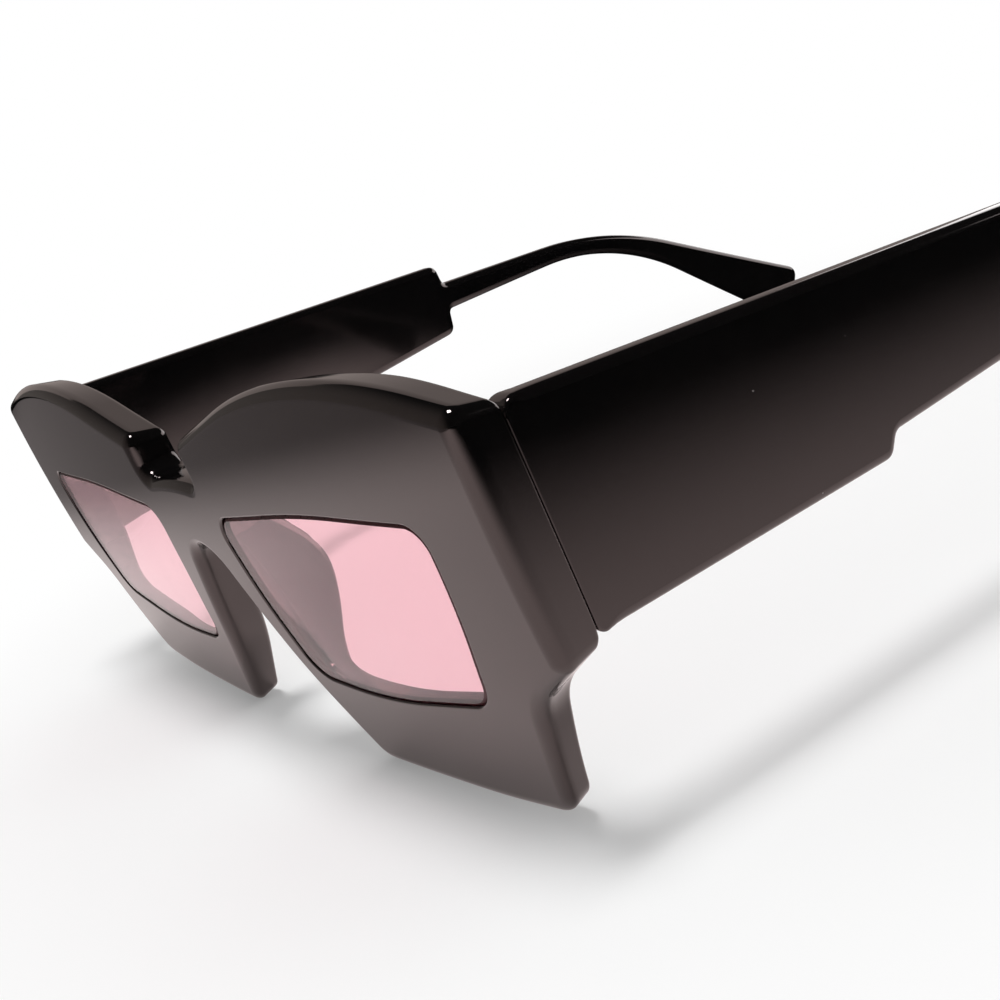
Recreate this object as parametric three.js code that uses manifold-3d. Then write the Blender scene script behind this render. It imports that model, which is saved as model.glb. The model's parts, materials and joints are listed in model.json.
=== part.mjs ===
// Rectangular sunglasses: a one-piece moulded front, two tinted lenses and two folding temples,
// each temple carried by a five-knuckle hinge and its screw.
// Millimetres. Everything is drawn in the front's own frame: X across (the wearer's left is +X),
// Y back from the face of the front, Z up in the plane of the front. The finished assembly is then
// tipped by LEAN, so that the lobes and the temple tips share a floor, set on Z = 0 and centred in Y.
import * as THREE from 'three';
import { TessellateModifier } from 'three/addons/modifiers/TessellateModifier.js';
import { mergeVertices } from 'three/addons/utils/BufferGeometryUtils.js';
import Module from 'manifold-3d';

const wasm = await Module();
wasm.setup();

// Overall stance
const LEAN = THREE.MathUtils.degToRad(4.4);
const FIT_GAP = 0.3;

// Front: outline, as sketch corners of [x, z, fillet radius] for the half on the wearer's left
const FRONT_HALF_WIDTH = 70.3;
const NOTCH_HALF_WIDTH = 8.7;
const NOTCH_FLOOR = 9.0;
const BRIDGE_CROWN = [0, 9.9, 55];
const BROW_START = 14.6;
const BROW_PEAK = [42.7, 24.2, 84];
const ENDPIECE_TOP = 17.2;
const ENDPIECE_BOTTOM = -8.3;
const SWEEP_CORNER = [63.0, -13.2, 9];
const LOBE_OUTER_CORNER = [57.6, -28.5, 4.0];
const LOBE_FLOOR_KINK = [45.0, -29.4, 150];
const LOBE_NASAL_CORNER = [19.3, -29.8, 3.2];
const NASAL_KINK = [11.4, -17.6, 60];
const NOSE_ARCH_CORNER = [0, 7.45, 5.5];
const SMALL_CORNER = 1.8;

// Front: section through the plate
const PLATE_THICKNESS = 6.0;
const FACE_EDGE_RADIUS = 1.4;
const DRAFT_SLOPE = 0.12;
const BLANK_DEPTH = 7.6;
const RAMP_START_X = 46;
const RAMP_END_X = 58;
const ENDPIECE_FLOOR_Z = -9.6;
const BOSS_CORNERS = [[59, 12.2, 2], [67, 12.2, 2], [67, -3.4, 2], [59, -3.4, 2]];
const SEAT_Y = 8.9;
const FACE_RADIUS_ACROSS = 850;
const FACE_RADIUS_UPRIGHT = 260;
const FACE_CREST_Z = 8;
const LOBE_THINNING = 0.42;
const THIN_START_Z = 4;
const THIN_END_Z = -30;
const WING_EDGE_X = 12;
const WING_FADE_X = 26;

// Lens: visible aperture as sketch corners, and the V-edge that snaps into the rim
const LENS_CORNERS = [
  [10.4, 4.9, 3.2],
  [34.0, 7.1, 160],
  [58.6, 6.95, 3.2],
  [58.2, -2.5, 45],
  [54.4, -14.7, 4.8],
  [32.0, -18.1, 90],
  [15.5, -17.3, 5.2],
  [12.0, -5.5, 60],
];
const LENS_FRONT_DEPTH = 0.35;
const LENS_BACK_DEPTH = 2.45;
const LENS_EDGE_DEPTH = 1.4;
const LENS_EDGE_HALF = 0.5;
const LENS_EDGE_HEIGHT = 0.6;
const GROOVE_HEIGHT = 0.95;
const GROOVE_HALF = 0.85;
const APERTURE_ROLL = 0.6;

// Nose pads, moulded on the back of the nasal rims
const PAD_CENTRE = new THREE.Vector3(9.7, 6.4, -8.2);
const PAD_RADII = new THREE.Vector3(2.7, 4.4, 8.8);
const PAD_SPLAY = THREE.MathUtils.degToRad(23);

// Temples: outline in the side view as sketch corners of [y, z, fillet radius], y from the face
const TEMPLE_FRONT_Y = 9.3;
const TEMPLE_CORNERS = [
  [TEMPLE_FRONT_Y, -7.8, 1.4],
  [48.4, -10.6, 1.6],
  [50.0, -8.3, 1.2],
  [85.2, -9.1, 1.8],
  [86.2, -4.7, 1.0],
  [129.6, -9.1, 50],
  [163.4, -44.52, 4.0],
  [169.2, -34.8, 2.2],
  [128.4, -6.3, 68],
  [87.0, 0.3, 1.0],
  [86.8, 4.1, 1.6],
  [TEMPLE_FRONT_Y, 16.6, 1.8],
];
const TEMPLE_THICKNESS = 3.6;
const ARM_THICKNESS = 3.0;
const ARM_START_Y = 86;
const ARM_THIN_Y = 110;
const TEMPLE_EDGE_RADIUS = 1.2;
const TEMPLE_SPLAY = THREE.MathUtils.degToRad(3.0);
const BOW_START_Y = 95;
const BOW_END_Y = 168;
const TIP_BOW = 7;

// Hinges: five knuckles on an axis that runs up the back of the endpiece
const HINGE_X = 63.9;
const HINGE_Y = SEAT_Y + 2.0;
const HINGE_Z = 4.4;
const HINGE_HEIGHT = 10.6;
const KNUCKLES = 5;
const KNUCKLE_RADIUS = 1.6;
const BORE_RADIUS = 0.8;
const LEAF_THICKNESS = 1.0;
const FRONT_LEAF_INNER = -4.0;
const FRONT_LEAF_OUTER = 1.2;
const TEMPLE_INNER_X = 1.9;
const TEMPLE_LEAF_START = 1.4;
const TEMPLE_LEAF_END = 9.4;
const SCREW_RADIUS = 0.7;
const SCREW_HEAD_RADIUS = 1.5;
const SCREW_HEAD_HEIGHT = 0.8;
const SLOT_WIDTH = 0.5;
const SLOT_DEPTH = 0.35;

// Finish of the facets
const ARC_STEP = THREE.MathUtils.degToRad(24);
const ARC_LENGTH_STEP = 5;
const FACE_EDGE_LENGTH = 11;
const ROUND_STEPS = 3;
const TURN_SEGMENTS = 16;

const blackPlastic = { color: 0x0b0a0b, roughness: 0.16, metalness: 0.0 };
const pinkLens = { color: 0xf4a3b1, roughness: 0.05, metalness: 0.0 };
const nickelSteel = { color: 0x9a9a9c, roughness: 0.35, metalness: 1.0 };

// Sketch: corners joined by straight lines, each rounded by its fillet, as a loop of points
function filletedLoop(corners) {
  const loop = [];
  corners.forEach(([x, z, radius], index) => {
    const corner = new THREE.Vector2(x, z);
    const before = corners[(index + corners.length - 1) % corners.length];
    const after = corners[(index + 1) % corners.length];
    const toBefore = new THREE.Vector2(before[0], before[1]).sub(corner).normalize();
    const toAfter = new THREE.Vector2(after[0], after[1]).sub(corner).normalize();
    const turn = Math.PI - Math.acos(THREE.MathUtils.clamp(toBefore.dot(toAfter), -1, 1));
    const tangent = radius * Math.tan(turn / 2);
    const bisector = toBefore.clone().add(toAfter).normalize();
    const centre = corner.clone().addScaledVector(bisector, radius / Math.cos(turn / 2));
    const start = corner.clone().addScaledVector(toBefore, tangent).sub(centre);
    const way = Math.sign(toAfter.cross(toBefore));
    const steps = Math.max(2, Math.ceil(turn / ARC_STEP), Math.ceil(turn * radius / ARC_LENGTH_STEP));
    for (let step = 0; step <= steps; step += 1) {
      const angle = way * turn * step / steps;
      loop.push(start.clone().rotateAround(new THREE.Vector2(), angle).add(centre));
    }
  });
  return THREE.ShapeUtils.area(loop) < 0 ? loop.reverse() : loop;
}

// A counter-clockwise loop moved inward by the inset, corner by corner
function insetLoop(loop, inset) {
  return loop.map((point, index) => {
    const before = point.clone().sub(loop[(index + loop.length - 1) % loop.length]).normalize();
    const after = loop[(index + 1) % loop.length].clone().sub(point).normalize();
    const normal = new THREE.Vector2(-before.y - after.y, before.x + after.x).normalize();
    const stretch = 1 / Math.max(0.5, normal.dot(new THREE.Vector2(-after.y, after.x)));
    return point.clone().addScaledVector(normal, inset * stretch);
  });
}

// Loft: one loop carried through rings of [inset, depth], capped at both ends (depth is local Z)
function loft(loop, rings) {
  const positions = [];
  const triangles = [];
  const count = loop.length;
  rings.forEach(([inset, depth]) => {
    insetLoop(loop, inset).forEach((point) => positions.push(point.x, point.y, depth));
  });
  for (let ring = 0; ring + 1 < rings.length; ring += 1) {
    for (let k = 0; k < count; k += 1) {
      const a = ring * count + k;
      const b = ring * count + (k + 1) % count;
      triangles.push(a, b, a + count, b, b + count, a + count);
    }
  }
  const last = (rings.length - 1) * count;
  THREE.ShapeUtils.triangulateShape(insetLoop(loop, rings[0][0]), []).forEach(([a, b, c]) => {
    triangles.push(a, c, b);
  });
  THREE.ShapeUtils.triangulateShape(insetLoop(loop, rings.at(-1)[0]), []).forEach(([a, b, c]) => {
    triangles.push(last + a, last + b, last + c);
  });
  const geometry = new THREE.BufferGeometry();
  geometry.setAttribute('position', new THREE.Float32BufferAttribute(positions, 3));
  geometry.setIndex(triangles);
  return geometry;
}

// A quarter-round edge as loft rings, from the face at `depth` to the wall, going inward or outward
function roundedRim(radius, depth, way) {
  return Array.from({ length: ROUND_STEPS + 1 }, (_, step) => {
    const angle = (step / ROUND_STEPS) * Math.PI / 2;
    return [radius * (1 - Math.sin(angle)), depth + way * radius * (1 - Math.cos(angle))];
  });
}

// Moves every vertex by a rule that takes and returns a Vector3
function reshape(geometry, rule) {
  const positions = geometry.attributes.position;
  const point = new THREE.Vector3();
  for (let index = 0; index < positions.count; index += 1) {
    rule(point.fromBufferAttribute(positions, index));
    positions.setXYZ(index, point.x, point.y, point.z);
  }
  return geometry;
}

function signedVolume(geometry) {
  const positions = geometry.attributes.position;
  const corner = (index) => new THREE.Vector3().fromBufferAttribute(positions, geometry.index.getX(index));
  let sum = 0;
  for (let index = 0; index < geometry.index.count; index += 3) {
    sum += corner(index).dot(corner(index + 1).cross(corner(index + 2)));
  }
  return sum / 6;
}

// Geometry to a closed solid for joining and cutting, with its faces turned outward
function toSolid(geometry) {
  const bare = geometry.clone();
  bare.deleteAttribute('normal');
  bare.deleteAttribute('uv');
  const merged = mergeVertices(bare, 1e-5);
  const triVerts = new Uint32Array(merged.index.array);
  if (signedVolume(merged) < 0) {
    for (let index = 0; index < triVerts.length; index += 3) {
      [triVerts[index], triVerts[index + 1]] = [triVerts[index + 1], triVerts[index]];
    }
  }
  const vertProperties = new Float32Array(merged.attributes.position.array);
  return new wasm.Manifold(new wasm.Mesh({ numProp: 3, vertProperties, triVerts }));
}

function toGeometry(solid) {
  const mesh = solid.getMesh();
  const geometry = new THREE.BufferGeometry();
  geometry.setAttribute('position', new THREE.Float32BufferAttribute(mesh.vertProperties, 3));
  geometry.setIndex(Array.from(mesh.triVerts));
  return geometry;
}

// A box between two corners, and an upright cylinder between two heights
function boxBetween(low, high) {
  const size = high.map((value, axis) => Math.abs(value - low[axis]));
  const centre = high.map((value, axis) => (value + low[axis]) / 2);
  return new THREE.BoxGeometry(...size).translate(...centre);
}

function uprightCylinder(radius, bottom, top) {
  const height = top - bottom;
  const cylinder = new THREE.CylinderGeometry(radius, radius, height, TURN_SEGMENTS);
  return cylinder.rotateX(Math.PI / 2).translate(0, 0, (bottom + top) / 2);
}

function namedMesh(name, geometry, finish) {
  const shaded = geometry.index ? geometry.toNonIndexed() : geometry;
  shaded.computeVertexNormals();
  const mesh = new THREE.Mesh(shaded, new THREE.MeshStandardMaterial(finish));
  mesh.name = name;
  return mesh;
}

// The moulded face: a shallow toric surface that every front piece follows
function faceDepth(x, z) {
  const fall = z - FACE_CREST_Z;
  return x * x / (2 * FACE_RADIUS_ACROSS) + fall * fall / (2 * FACE_RADIUS_UPRIGHT);
}

// Flat drawing (x, z, depth) to the curved front (x, y, z)
function ontoFace(point) {
  const down = THREE.MathUtils.smoothstep(THIN_START_Z - point.y, 0, THIN_START_Z - THIN_END_Z);
  const aside = THREE.MathUtils.smoothstep(Math.abs(point.x), WING_EDGE_X, WING_FADE_X);
  const thickness = point.z * (1 - LOBE_THINNING * down * aside);
  point.set(point.x, faceDepth(point.x, point.y) + thickness, point.y);
}

function curvedOntoFace(geometry) {
  const fine = new TessellateModifier(FACE_EDGE_LENGTH, 8).modify(geometry);
  return reshape(fine, ontoFace);
}

function mirrored(corners) {
  return corners.map(([x, z, radius]) => [-x, z, radius]);
}

function frontOutline() {
  const half = [
    [NOTCH_HALF_WIDTH, NOTCH_FLOOR, SMALL_CORNER],
    [NOTCH_HALF_WIDTH, BROW_START, SMALL_CORNER],
    BROW_PEAK,
    [FRONT_HALF_WIDTH, ENDPIECE_TOP, SMALL_CORNER],
    [FRONT_HALF_WIDTH, ENDPIECE_BOTTOM, SMALL_CORNER],
    SWEEP_CORNER,
    LOBE_OUTER_CORNER,
    LOBE_FLOOR_KINK,
    LOBE_NASAL_CORNER,
    NASAL_KINK,
  ];
  return filletedLoop([BRIDGE_CROWN, ...half, NOSE_ARCH_CORNER, ...mirrored(half).reverse()]);
}

function lensOutline(side) {
  return filletedLoop(side > 0 ? LENS_CORNERS : mirrored(LENS_CORNERS));
}

// Drafted plate: the rims are cut back to their thickness, ramping up to the two thick endpieces,
// and each endpiece keeps a boss that seats its hinge
function frontBlank() {
  const wallDepth = BLANK_DEPTH - FACE_EDGE_RADIUS;
  const rings = [...roundedRim(FACE_EDGE_RADIUS, 0, 1), [wallDepth * DRAFT_SLOPE, BLANK_DEPTH]];
  const reach = FRONT_HALF_WIDTH + 1;
  const behind = BLANK_DEPTH + 1;
  const slope = (RAMP_END_X - RAMP_START_X) / (BLANK_DEPTH - PLATE_THICKNESS);
  const rampOutline = [[-1, -1], [1, -1], [1, 1], [-1, 1]].map(([signX, signZ]) => (
    new THREE.Vector2(signX * (RAMP_END_X + slope), signZ * 2 * reach)
  ));
  const ramps = loft(rampOutline, [[RAMP_END_X + slope - RAMP_START_X, PLATE_THICKNESS], [0, behind]]);
  const below = boxBetween([-reach, -2 * reach, PLATE_THICKNESS], [reach, ENDPIECE_FLOOR_Z, behind]);
  let blank = toSolid(loft(frontOutline(), rings)).subtract(toSolid(ramps)).subtract(toSolid(below));
  for (const corners of [BOSS_CORNERS, mirrored(BOSS_CORNERS)]) {
    const boss = loft(filletedLoop(corners), [[0, FACE_EDGE_RADIUS], [0, BLANK_DEPTH]]);
    blank = blank.add(toSolid(boss));
  }
  return blank;
}

// Opening for one lens: a rolled front edge, straight walls and the V-groove that holds the lens
function lensOpening(side) {
  const outline = lensOutline(side);
  const roll = roundedRim(APERTURE_ROLL, 0, 1).map(([inset, depth]) => [-inset, depth]);
  const walls = loft(outline, [[-APERTURE_ROLL, -1], ...roll, [0, BLANK_DEPTH + 1]]);
  const groove = loft(outline, [
    [FIT_GAP, LENS_EDGE_DEPTH - GROOVE_HALF],
    [-GROOVE_HEIGHT, LENS_EDGE_DEPTH],
    [FIT_GAP, LENS_EDGE_DEPTH + GROOVE_HALF],
  ]);
  return toSolid(walls).add(toSolid(groove));
}

function nosePad(side) {
  const pad = new THREE.SphereGeometry(1, 18, 12);
  pad.scale(PAD_RADII.x, PAD_RADII.z, PAD_RADII.y);
  pad.rotateZ(side * PAD_SPLAY);
  return toSolid(pad.translate(side * PAD_CENTRE.x, PAD_CENTRE.z, PAD_CENTRE.y));
}

// Pocket in the back of the endpiece for the front leaf of the hinge
function frontLeafPocket(side) {
  const half = HINGE_HEIGHT / 2 + FIT_GAP;
  const inner = side * (HINGE_X + FRONT_LEAF_INNER - FIT_GAP);
  const outer = side * (HINGE_X + FRONT_LEAF_OUTER + FIT_GAP);
  const floor = SEAT_Y - LEAF_THICKNESS - FIT_GAP;
  return toSolid(boxBetween([inner, floor, HINGE_Z - half], [outer, SEAT_Y + 1, HINGE_Z + half]));
}

function buildFront() {
  let flat = frontBlank();
  for (const side of [1, -1]) {
    flat = flat.subtract(lensOpening(side)).add(nosePad(side));
  }
  const reach = FRONT_HALF_WIDTH + 1;
  const behindSeat = boxBetween([-reach, SEAT_Y, -40], [reach, SEAT_Y + 20, 40]);
  let front = toSolid(curvedOntoFace(toGeometry(flat))).subtract(toSolid(behindSeat));
  for (const side of [1, -1]) {
    front = front.subtract(frontLeafPocket(side));
  }
  return namedMesh('front_frame', toGeometry(front), blackPlastic);
}

function buildLens(side, name) {
  const lens = loft(lensOutline(side), [
    [FIT_GAP, LENS_FRONT_DEPTH],
    [FIT_GAP, LENS_EDGE_DEPTH - LENS_EDGE_HALF],
    [-LENS_EDGE_HEIGHT, LENS_EDGE_DEPTH],
    [FIT_GAP, LENS_EDGE_DEPTH + LENS_EDGE_HALF],
    [FIT_GAP, LENS_BACK_DEPTH],
  ]);
  return namedMesh(name, toGeometry(toSolid(curvedOntoFace(lens))), pinkLens);
}

// Heights of one knuckle, counted from the bottom
function knuckleSpan(index) {
  const pitch = (HINGE_HEIGHT + FIT_GAP) / KNUCKLES;
  const bottom = HINGE_Z - HINGE_HEIGHT / 2 + index * pitch;
  return [bottom, bottom + pitch - FIT_GAP];
}

// Joins a leaf's plate with its knuckles and their webs, then bores it. Local to the hinge axis.
function hingeLeaf(plate, firstKnuckle, webLow, webHigh) {
  let leaf = toSolid(plate);
  for (let index = firstKnuckle; index < KNUCKLES; index += 2) {
    const [bottom, top] = knuckleSpan(index);
    const web = boxBetween([...webLow, bottom], [...webHigh, top]);
    leaf = leaf.add(toSolid(uprightCylinder(KNUCKLE_RADIUS, bottom, top))).add(toSolid(web));
  }
  const reach = HINGE_HEIGHT;
  return leaf.subtract(toSolid(uprightCylinder(BORE_RADIUS, HINGE_Z - reach, HINGE_Z + reach)));
}

function buildFrontLeaf(side, name) {
  const seat = SEAT_Y - HINGE_Y;
  const low = [side * FRONT_LEAF_INNER, seat - LEAF_THICKNESS, HINGE_Z - HINGE_HEIGHT / 2];
  const high = [side * FRONT_LEAF_OUTER, seat, HINGE_Z + HINGE_HEIGHT / 2];
  const webLow = [-side * KNUCKLE_RADIUS, seat - LEAF_THICKNESS / 2];
  const webHigh = [side * FRONT_LEAF_OUTER, 0];
  const leaf = hingeLeaf(boxBetween(low, high), 0, webLow, webHigh);
  return namedMesh(name, toGeometry(leaf), nickelSteel);
}

function buildTempleLeaf(side, name) {
  const face = TEMPLE_INNER_X - FIT_GAP;
  const low = [side * face, TEMPLE_LEAF_START, HINGE_Z - HINGE_HEIGHT / 2];
  const high = [side * (face + LEAF_THICKNESS + FIT_GAP), TEMPLE_LEAF_END, HINGE_Z + HINGE_HEIGHT / 2];
  const webHigh = [side * (face + LEAF_THICKNESS / 2), TEMPLE_LEAF_START + LEAF_THICKNESS];
  const leaf = hingeLeaf(boxBetween(low, high), 1, [0, 0], webHigh);
  const corner = boxBetween(
    [side * face, -KNUCKLE_RADIUS, HINGE_Z - HINGE_HEIGHT],
    [side * HINGE_X, TEMPLE_LEAF_START, HINGE_Z + HINGE_HEIGHT],
  );
  return namedMesh(name, toGeometry(leaf.subtract(toSolid(corner))), nickelSteel);
}

function buildScrew(name) {
  const [, top] = knuckleSpan(KNUCKLES - 1);
  const underHead = top + FIT_GAP;
  const crown = underHead + SCREW_HEAD_HEIGHT;
  const shank = uprightCylinder(SCREW_RADIUS, HINGE_Z - HINGE_HEIGHT / 2, underHead + SLOT_DEPTH);
  const head = uprightCylinder(SCREW_HEAD_RADIUS, underHead, crown);
  const reach = SCREW_HEAD_RADIUS + 1;
  const slot = boxBetween([-reach, -SLOT_WIDTH / 2, crown - SLOT_DEPTH], [reach, SLOT_WIDTH / 2, crown + 1]);
  const screw = toSolid(shank).add(toSolid(head)).subtract(toSolid(slot));
  return namedMesh(name, toGeometry(screw), nickelSteel);
}

// Temple: a slab with rounded edges whose arm thins, drops behind the ear and bows toward the head
function buildTemple(side, name) {
  const far = TEMPLE_THICKNESS;
  const rings = [
    ...roundedRim(TEMPLE_EDGE_RADIUS, 0, 1),
    ...roundedRim(TEMPLE_EDGE_RADIUS, far, -1).reverse(),
  ];
  const slab = new TessellateModifier(2 * FACE_EDGE_LENGTH, 6).modify(loft(filletedLoop(TEMPLE_CORNERS), rings));
  reshape(slab, (point) => {
    const along = point.x;
    const thin = THREE.MathUtils.smoothstep(along, ARM_START_Y, ARM_THIN_Y);
    const thickness = THREE.MathUtils.lerp(TEMPLE_THICKNESS, ARM_THICKNESS, thin);
    const past = Math.max(0, along - BOW_START_Y) / (BOW_END_Y - BOW_START_Y);
    const middle = TEMPLE_INNER_X + TEMPLE_THICKNESS / 2 - TIP_BOW * past * past;
    const across = middle + (point.z / TEMPLE_THICKNESS - 0.5) * thickness;
    point.set(side * across, along - HINGE_Y, point.y);
  });
  const half = HINGE_HEIGHT / 2 + FIT_GAP;
  const pocket = boxBetween(
    [0, TEMPLE_LEAF_START - FIT_GAP, HINGE_Z - half],
    [side * (TEMPLE_INNER_X + LEAF_THICKNESS + FIT_GAP), TEMPLE_LEAF_END + FIT_GAP, HINGE_Z + half],
  );
  return namedMesh(name, toGeometry(toSolid(slab).subtract(toSolid(pocket))), blackPlastic);
}

// One side: the temple and its leaf turn together about the hinge axis, splayed outward when open
function buildSide(side, label) {
  const hinge = new THREE.Group();
  hinge.position.set(side * HINGE_X, HINGE_Y, 0);
  const swinging = new THREE.Group();
  swinging.rotation.z = -side * TEMPLE_SPLAY;
  swinging.add(buildTemple(side, `temple_${label}`));
  swinging.add(buildTempleLeaf(side, `hinge_temple_leaf_${label}`));
  hinge.add(swinging);
  hinge.add(buildFrontLeaf(side, `hinge_front_leaf_${label}`));
  hinge.add(buildScrew(`hinge_screw_${label}`));
  return hinge;
}

const sunglasses = new THREE.Group();
sunglasses.rotation.x = LEAN;
sunglasses.add(buildFront());
for (const [side, label] of [[1, 'left'], [-1, 'right']]) {
  sunglasses.add(buildLens(side, `lens_${label}`));
  sunglasses.add(buildSide(side, label));
}

const assembly = new THREE.Group();
assembly.add(sunglasses);
assembly.updateMatrixWorld(true);
const stance = new THREE.Box3().setFromObject(sunglasses, true);
sunglasses.position.set(0, -stance.getCenter(new THREE.Vector3()).y, -stance.min.z);
export default assembly;
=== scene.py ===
"""Looks of a pair of rectangular sunglasses: glossy black plastic, pale pink lenses, nickel hinges.

Shapes are drawn in millimetres in the upright frame of the front: X to the wearer's left, Y to the back,
Z up, origin on the face between the lenses. They are then leaned and moved into the frame of the CAD model.
"""

import json
import math

import bmesh
import bpy
import numpy as np
from mathutils import Matrix, Vector
from mathutils.geometry import delaunay_2d_cdt
from mathutils.kdtree import KDTree


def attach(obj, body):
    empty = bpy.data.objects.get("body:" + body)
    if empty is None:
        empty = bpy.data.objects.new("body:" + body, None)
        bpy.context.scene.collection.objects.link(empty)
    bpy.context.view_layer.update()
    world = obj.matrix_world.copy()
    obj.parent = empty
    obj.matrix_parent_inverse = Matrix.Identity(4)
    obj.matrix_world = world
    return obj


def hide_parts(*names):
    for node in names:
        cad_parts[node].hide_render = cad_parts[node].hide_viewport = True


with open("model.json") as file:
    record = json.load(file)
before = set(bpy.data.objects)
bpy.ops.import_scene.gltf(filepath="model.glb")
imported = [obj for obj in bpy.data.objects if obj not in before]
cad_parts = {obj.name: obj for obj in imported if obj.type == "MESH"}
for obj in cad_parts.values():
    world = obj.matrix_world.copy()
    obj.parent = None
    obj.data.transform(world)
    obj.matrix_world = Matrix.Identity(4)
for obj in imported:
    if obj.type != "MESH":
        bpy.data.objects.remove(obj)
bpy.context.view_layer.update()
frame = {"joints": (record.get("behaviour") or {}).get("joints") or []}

MM = 0.001
LEFT, RIGHT = 1, -1
SIDE_NAME = {LEFT: "left", RIGHT: "right"}

# Front: half outline from the bridge outwards, as (x, z, corner radius).
BRIDGE_CROWN = (0.0, 9.9, 55.0)
NOSE_ARCH = (0.0, 7.45, 5.5)
HALF_OUTLINE = [
    (8.7, 9.0, 1.8),
    (8.7, 14.9, 1.8),
    (42.7, 24.3, 84.0),
    (70.3, 18.0, 1.8),
    (70.3, -8.3, 1.8),
    (63.0, -13.2, 9.0),
    (57.6, -28.5, 4.0),
    (45.0, -29.4, 150.0),
    (19.3, -29.8, 3.2),
    (11.4, -17.6, 60.0),
]
PLATE_THICKNESS = 6.0
FACE_EDGE_RADIUS = 1.6
BACK_EDGE_RADIUS = 1.1
DRAFT_SLOPE = 0.12

# The face curves both ways, and the plate thins towards the lobes.
FACE_RADIUS_ACROSS = 850.0
FACE_RADIUS_UPRIGHT = 260.0
FACE_CREST_Z = 8.0
LOBE_THINNING = 0.42
THIN_Z = (-30.0, 4.0)
WING_X = (10.0, 24.0)

# The brow's top falls to the back, and sharper edges meet where a temple closes against the front.
BROW_FALL = 0.2
BROW_FALL_Z = (9.0, 14.0)
SEAM_EDGE_RADIUS = 0.35
SEAM_X = (66.0, 69.0)
SEAM_Z = (-9.0, -6.0)

# Endpieces: the back ramps up to the seat of the hinge.
RAMP_X = (44.0, 58.0)
RAMP_Z = (-14.0, -5.0)
SEAT_Y = 8.9
BOSS_X = (59.0, 67.0)
BOSS_Z = (-3.4, 12.2)
BOSS_DEPTH = 3.8
BOSS_CORNER = 2.0
BOSS_EDGE_RADIUS = 0.4

# Nose pads: the rim behind the lens swells backwards.
PAD_CENTRE = (11.3, -5.6)
PAD_RADII = (4.5, 13.0)
PAD_TILT = math.radians(22.0)
PAD_HEIGHT = 5.2
PAD_EDGE_RADIUS = 1.25
PAD_FALLOFF = (1.8, 1.57)

# Lenses: outline as (x, z, corner radius), and depths behind the face. A ridge sits in the rim's groove, both
# as (depth, half width, height).
LENS_OUTLINE = [
    (10.4, 4.9, 3.2),
    (34.0, 7.1, 160.0),
    (58.6, 6.95, 3.2),
    (58.2, -2.5, 45.0),
    (54.4, -14.7, 4.8),
    (32.0, -18.1, 90.0),
    (15.5, -17.3, 5.2),
    (12.0, -5.5, 60.0),
]
LENS_FRONT = 0.2
LENS_BACK = 1.8
LENS_GAP = 0.04
LENS_BEVEL = 0.4
LENS_BACK_BEVEL = 0.05
LENS_RIDGE = (1.0, 0.35, 0.5)
LENS_FACE_COSINE = 0.9
APERTURE_ROLL = 0.35
APERTURE_GROOVE = (1.0, 0.45, 0.65)
APERTURE_BACK_RADIUS = 0.4

# Temples: side outline as (y, z, corner radius), before the temple is splayed about its hinge.
TEMPLE_OUTLINE = [
    (9.3, -7.8, 1.4),
    (48.4, -10.6, 1.6),
    (50.0, -8.3, 1.2),
    (85.2, -9.1, 1.8),
    (86.2, -4.7, 1.0),
    (129.6, -9.1, 50.0),
    (163.4, -44.52, 4.0),
    (169.2, -34.8, 2.2),
    (128.4, -6.3, 68.0),
    (87.0, 0.3, 1.0),
    (86.8, 4.1, 1.6),
    (9.3, 16.6, 1.8),
]
TEMPLE_THICKNESS = 3.6
ARM_THICKNESS = 3.0
ARM_TAPER_Y = (86.0, 110.0)
TEMPLE_EDGE_RADIUS = 1.2
SEAM_Y = (9.5, 12.5)
TEMPLE_INNER_X = 1.9
TEMPLE_SPLAY = math.radians(3.0)
BOW_START_Y = 95.0
BOW_LENGTH = 73.0
BOW_DEPTH = 7.0

# Hinges, about the screw's axis. The screw's slot is (width, depth).
HINGE = Vector((63.9, 10.9, 4.4))
HINGE_HEIGHT = 10.6
KNUCKLES = 5
KNUCKLE_GAP = 0.3
KNUCKLE_RADIUS = 1.6
KNUCKLE_BEVEL = 0.18
LEAF_BEVEL = 0.22
LEAF_THICKNESS = 1.0
FRONT_LEAF_X = (-4.0, 1.2)
TEMPLE_LEAF_X = (1.6, 2.9)
TEMPLE_LEAF_Y = (1.4, 7.4)
LEAF_PROUD = 0.02
BEVEL_KNEE = 0.3
SCREW_RADIUS = 0.7
SCREW_HEAD_RADIUS = 1.5
SCREW_HEAD_HEIGHT = 0.8
SCREW_SLOT = (0.5, 0.35)

# Mesh density, tolerances and creases.
ARC_STEP = math.radians(5.0)
MIN_ARC_STEPS = 3
EDGE_STEP = 1.0
ROUND_STEPS = 8
CIRCLE_STEPS = 48
WALL_SHARES = (0.25, 0.5, 0.75)
FACE_GRID = 1.0
TEMPLE_GRID = 2.0
GRID_CLEARANCE = 0.6
FILL_INSIDE = 1
FILL_TOLERANCE = 1e-7
WELD = 0.003
NORMAL_STEP = 0.01
CREASE = math.radians(38.0)
LENS_CREASE = math.radians(12.0)

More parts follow.
